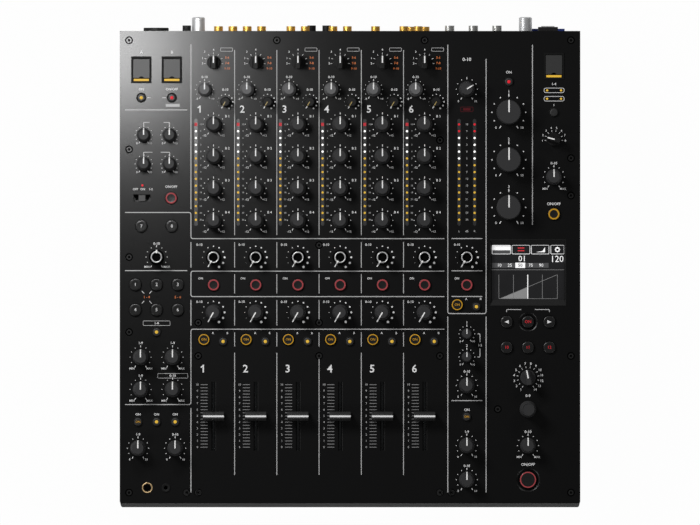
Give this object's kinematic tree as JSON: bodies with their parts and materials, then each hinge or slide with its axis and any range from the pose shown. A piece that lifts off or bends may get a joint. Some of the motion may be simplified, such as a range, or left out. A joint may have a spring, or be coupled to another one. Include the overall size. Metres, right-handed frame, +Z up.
{
  "type": "dj mixer",
  "caption": "Black multi-channel DJ mixer with channel strips of knobs, buttons and faders, level meters, effect display, USB flaps, headphone sockets and rear sockets.",
  "frame": {"origin": "middle of the object's box on plan, at the bottom of the feet", "axes": "+Z up, +Y towards the rear sockets, +X to the operator's right"},
  "size_m": [0.445, 0.4754, 0.107],
  "materials": {
    "top_panel": "satin black",
    "case_tray": "satin black",
    "rear_panel": "satin black",
    "rubber_feet": "matte",
    "panel_screws": "blackened",
    "board_standoffs": "plain",
    "selector_knobs": "black",
    "small_knobs": "grey",
    "mini_knobs": "black",
    "medium_knobs": "black",
    "filter_knobs": "black with a metal ring",
    "control_board": "solder mask",
    "fader_units": "plain",
    "display_bezel": "black",
    "display_screen": "gloss",
    "level_meters": "lit",
    "usb_ports": "black",
    "headphone_jacks": "gold plated",
    "rca_jacks": "gold plated",
    "trs_jacks": "nickel",
    "xlr_jacks": "black",
    "ground_terminals": "black",
    "guard_posts": "turned",
    "mains_inlet": "black",
    "main_board": "solder mask",
    "power_supply": "zinc",
    "channel_1_selector_knob": "black",
    "channel_1_trim_knob": "grey",
    "channel_1_comp_knob": "black",
    "channel_1_hi_knob": "black",
    "channel_1_hi_mid_knob": "black",
    "channel_1_low_mid_knob": "black",
    "channel_1_low_knob": "black",
    "channel_1_filter_knob": "black",
    "ring_buttons": "translucent ring",
    "channel_1_send_knob": "black",
    "cue_buttons": "translucent ring",
    "lamp_buttons": "black",
    "round_buttons": "black",
    "master_level_knob": "black",
    "isolator_hi_knob": "black",
    "isolator_mid_knob": "black",
    "isolator_low_knob": "black",
    "multi_channel_knob": "black",
    "tap_button": "black",
    "effect_selector_knob": "black",
    "effect_time_knob": "black",
    "effect_depth_knob": "black",
    "effect_on_button": "black",
    "channel_1_fader": "black",
    "channel_2_fader": "black",
    "channel_3_fader": "black",
    "channel_4_fader": "black",
    "channel_5_fader": "black",
    "channel_6_fader": "black",
    "mic_switch_slider": "black",
    "usb_flap_left": "black",
    "usb_flap_middle": "black",
    "usb_flap_right": "black",
    "mains_switch_rocker": "black"
  },
  "bodies": {
    "mixer_body": {"top_panel": "top_panel", "case_tray": "case_tray", "rear_panel": "rear_panel", "rubber_feet": "rubber_feet", "panel_screws": "panel_screws", "board_standoffs": "board_standoffs", "selector_knobs": "selector_knobs", "small_knobs": "small_knobs", "mini_knobs": "mini_knobs", "medium_knobs": "medium_knobs", "filter_knobs": "filter_knobs", "control_board": "control_board", "fader_units": "fader_units", "display_bezel": "display_bezel", "display_screen": "display_screen", "level_meters": "level_meters", "usb_ports": "usb_ports", "headphone_jacks": "headphone_jacks", "rca_jacks": "rca_jacks", "trs_jacks": "trs_jacks", "xlr_jacks": "xlr_jacks", "ground_terminals": "ground_terminals", "guard_posts": "guard_posts", "mains_inlet": "mains_inlet", "main_board": "main_board", "power_supply": "power_supply"},
    "channel_1_selector_knob": {"channel_1_selector_knob": "channel_1_selector_knob"},
    "channel_1_trim_knob": {"channel_1_trim_knob": "channel_1_trim_knob"},
    "channel_1_comp_knob": {"channel_1_comp_knob": "channel_1_comp_knob"},
    "channel_1_hi_knob": {"channel_1_hi_knob": "channel_1_hi_knob"},
    "channel_1_hi_mid_knob": {"channel_1_hi_mid_knob": "channel_1_hi_mid_knob"},
    "channel_1_low_mid_knob": {"channel_1_low_mid_knob": "channel_1_low_mid_knob"},
    "channel_1_low_knob": {"channel_1_low_knob": "channel_1_low_knob"},
    "channel_1_filter_knob": {"channel_1_filter_knob": "channel_1_filter_knob"},
    "ring_buttons": {"ring_buttons": "ring_buttons"},
    "channel_1_send_knob": {"channel_1_send_knob": "channel_1_send_knob"},
    "cue_buttons": {"cue_buttons": "cue_buttons"},
    "lamp_buttons": {"lamp_buttons": "lamp_buttons"},
    "round_buttons": {"round_buttons": "round_buttons"},
    "master_level_knob": {"master_level_knob": "master_level_knob"},
    "isolator_hi_knob": {"isolator_hi_knob": "isolator_hi_knob"},
    "isolator_mid_knob": {"isolator_mid_knob": "isolator_mid_knob"},
    "isolator_low_knob": {"isolator_low_knob": "isolator_low_knob"},
    "multi_channel_knob": {"multi_channel_knob": "multi_channel_knob"},
    "tap_button": {"tap_button": "tap_button"},
    "effect_selector_knob": {"effect_selector_knob": "effect_selector_knob"},
    "effect_time_knob": {"effect_time_knob": "effect_time_knob"},
    "effect_depth_knob": {"effect_depth_knob": "effect_depth_knob"},
    "effect_on_button": {"effect_on_button": "effect_on_button"},
    "channel_1_fader": {"channel_1_fader": "channel_1_fader"},
    "channel_2_fader": {"channel_2_fader": "channel_2_fader"},
    "channel_3_fader": {"channel_3_fader": "channel_3_fader"},
    "channel_4_fader": {"channel_4_fader": "channel_4_fader"},
    "channel_5_fader": {"channel_5_fader": "channel_5_fader"},
    "channel_6_fader": {"channel_6_fader": "channel_6_fader"},
    "mic_switch_slider": {"mic_switch_slider": "mic_switch_slider"},
    "usb_flap_left": {"usb_flap_left": "usb_flap_left"},
    "usb_flap_middle": {"usb_flap_middle": "usb_flap_middle"},
    "usb_flap_right": {"usb_flap_right": "usb_flap_right"},
    "mains_switch_rocker": {"mains_switch_rocker": "mains_switch_rocker"}
  },
  "joints": [
    {"name": "channel_1_selector_knob_joint", "type": "hinge", "parent": "mixer_body", "child": "channel_1_selector_knob", "pos_m": [-0.1319, 0.19335, 0.088], "axis": [0, 0, -1], "range_deg": [-84, 112]},
    {"name": "channel_1_trim_knob_joint", "type": "hinge", "parent": "mixer_body", "child": "channel_1_trim_knob", "pos_m": [-0.1405, 0.16715, 0.088], "axis": [0, 0, -1], "range_deg": [-150, 150]},
    {"name": "channel_1_comp_knob_joint", "type": "hinge", "parent": "mixer_body", "child": "channel_1_comp_knob", "pos_m": [-0.1205, 0.15525, 0.088], "axis": [0, 0, -1], "range_deg": [0, 300]},
    {"name": "channel_1_hi_knob_joint", "type": "hinge", "parent": "mixer_body", "child": "channel_1_hi_knob", "pos_m": [-0.1319, 0.13365, 0.088], "axis": [0, 0, -1], "range_deg": [-150, 150]},
    {"name": "channel_1_hi_mid_knob_joint", "type": "hinge", "parent": "mixer_body", "child": "channel_1_hi_mid_knob", "pos_m": [-0.1319, 0.1027, 0.088], "axis": [0, 0, -1], "range_deg": [-150, 150]},
    {"name": "channel_1_low_mid_knob_joint", "type": "hinge", "parent": "mixer_body", "child": "channel_1_low_mid_knob", "pos_m": [-0.1319, 0.07175, 0.088], "axis": [0, 0, -1], "range_deg": [-150, 150]},
    {"name": "channel_1_low_knob_joint", "type": "hinge", "parent": "mixer_body", "child": "channel_1_low_knob", "pos_m": [-0.1319, 0.0408, 0.088], "axis": [0, 0, -1], "range_deg": [-150, 150]},
    {"name": "channel_1_filter_knob_joint", "type": "hinge", "parent": "mixer_body", "child": "channel_1_filter_knob", "pos_m": [-0.1319, 0.005, 0.088], "axis": [0, 0, -1], "range_deg": [0, 300]},
    {"name": "ring_buttons_joint", "type": "slide", "parent": "mixer_body", "child": "ring_buttons", "axis": [0, 0, -1], "range_m": [0, 0.0012], "stiffness_N_per_m": 400, "springref_m": -0.002},
    {"name": "channel_1_send_knob_joint", "type": "hinge", "parent": "mixer_body", "child": "channel_1_send_knob", "pos_m": [-0.1319, -0.0482, 0.088], "axis": [0, 0, -1], "range_deg": [0, 300]},
    {"name": "cue_buttons_joint", "type": "slide", "parent": "mixer_body", "child": "cue_buttons", "axis": [0, 0, -1], "range_m": [0, 0.0012], "stiffness_N_per_m": 400, "springref_m": -0.002},
    {"name": "lamp_buttons_joint", "type": "slide", "parent": "mixer_body", "child": "lamp_buttons", "axis": [0, 0, -1], "range_m": [0, 0.0012], "stiffness_N_per_m": 400, "springref_m": -0.002},
    {"name": "round_buttons_joint", "type": "slide", "parent": "mixer_body", "child": "round_buttons", "axis": [0, 0, -1], "range_m": [0, 0.0012], "stiffness_N_per_m": 400, "springref_m": -0.002},
    {"name": "master_level_knob_joint", "type": "hinge", "parent": "mixer_body", "child": "master_level_knob", "pos_m": [0.1129, 0.16755, 0.088], "axis": [0, 0, -1], "range_deg": [-208, 92]},
    {"name": "isolator_hi_knob_joint", "type": "hinge", "parent": "mixer_body", "child": "isolator_hi_knob", "pos_m": [0.1535, 0.14515, 0.088], "axis": [0, 0, -1], "range_deg": [-150, 150]},
    {"name": "isolator_mid_knob_joint", "type": "hinge", "parent": "mixer_body", "child": "isolator_mid_knob", "pos_m": [0.1535, 0.09915, 0.088], "axis": [0, 0, -1], "range_deg": [-150, 150]},
    {"name": "isolator_low_knob_joint", "type": "hinge", "parent": "mixer_body", "child": "isolator_low_knob", "pos_m": [0.1535, 0.05315, 0.088], "axis": [0, 0, -1], "range_deg": [-150, 150]},
    {"name": "multi_channel_knob_joint", "type": "hinge", "parent": "mixer_body", "child": "multi_channel_knob", "pos_m": [0.197, 0.11905, 0.088], "axis": [0, 0, -1], "range_deg": [-31, 181]},
    {"name": "tap_button_joint", "type": "slide", "parent": "mixer_body", "child": "tap_button", "axis": [0, 0, -1], "range_m": [0, 0.0012], "stiffness_N_per_m": 400, "springref_m": -0.002},
    {"name": "effect_selector_knob_joint", "type": "hinge", "parent": "mixer_body", "child": "effect_selector_knob", "pos_m": [0.172, -0.11125, 0.088], "axis": [0, 0, -1], "range_deg": [-138.5, 161.5]},
    {"name": "effect_time_knob_joint", "type": "hinge", "parent": "mixer_body", "child": "effect_time_knob", "pos_m": [0.172, -0.14175, 0.088], "axis": [0, 0, -1], "continuous": true},
    {"name": "effect_depth_knob_joint", "type": "hinge", "parent": "mixer_body", "child": "effect_depth_knob", "pos_m": [0.172, -0.17695, 0.088], "axis": [0, 0, -1], "range_deg": [-150, 150]},
    {"name": "effect_on_button_joint", "type": "slide", "parent": "mixer_body", "child": "effect_on_button", "axis": [0, 0, -1], "range_m": [0, 0.0012], "stiffness_N_per_m": 400, "springref_m": -0.002},
    {"name": "channel_1_fader_joint", "type": "slide", "parent": "mixer_body", "child": "channel_1_fader", "axis": [0, 1, 0], "range_m": [-0.03, 0.03]},
    {"name": "channel_2_fader_joint", "type": "slide", "parent": "mixer_body", "child": "channel_2_fader", "axis": [0, 1, 0], "range_m": [-0.03, 0.03]},
    {"name": "channel_3_fader_joint", "type": "slide", "parent": "mixer_body", "child": "channel_3_fader", "axis": [0, 1, 0], "range_m": [-0.03, 0.03]},
    {"name": "channel_4_fader_joint", "type": "slide", "parent": "mixer_body", "child": "channel_4_fader", "axis": [0, 1, 0], "range_m": [-0.03, 0.03]},
    {"name": "channel_5_fader_joint", "type": "slide", "parent": "mixer_body", "child": "channel_5_fader", "axis": [0, 1, 0], "range_m": [-0.03, 0.03]},
    {"name": "channel_6_fader_joint", "type": "slide", "parent": "mixer_body", "child": "channel_6_fader", "axis": [0, 1, 0], "range_m": [-0.03, 0.03]},
    {"name": "mic_switch_slider_joint", "type": "slide", "parent": "mixer_body", "child": "mic_switch_slider", "axis": [1, 0, 0], "range_m": [-0.0045, 0.0045]},
    {"name": "usb_flap_left_joint", "type": "hinge", "parent": "mixer_body", "child": "usb_flap_left", "pos_m": [-0.20165, 0.19605, 0.0875], "axis": [-1, 0, 0], "range_deg": [0, 95]},
    {"name": "usb_flap_middle_joint", "type": "hinge", "parent": "mixer_body", "child": "usb_flap_middle", "pos_m": [-0.17215, 0.19605, 0.0875], "axis": [-1, 0, 0], "range_deg": [0, 95]},
    {"name": "usb_flap_right_joint", "type": "hinge", "parent": "mixer_body", "child": "usb_flap_right", "pos_m": [0.197, 0.19965, 0.0875], "axis": [-1, 0, 0], "range_deg": [0, 95]},
    {"name": "mains_switch_rocker_joint", "type": "hinge", "parent": "mixer_body", "child": "mains_switch_rocker", "pos_m": [0.1915, 0.22475, 0.066], "axis": [-1, 0, 0], "range_deg": [0, 14]}
  ]
}
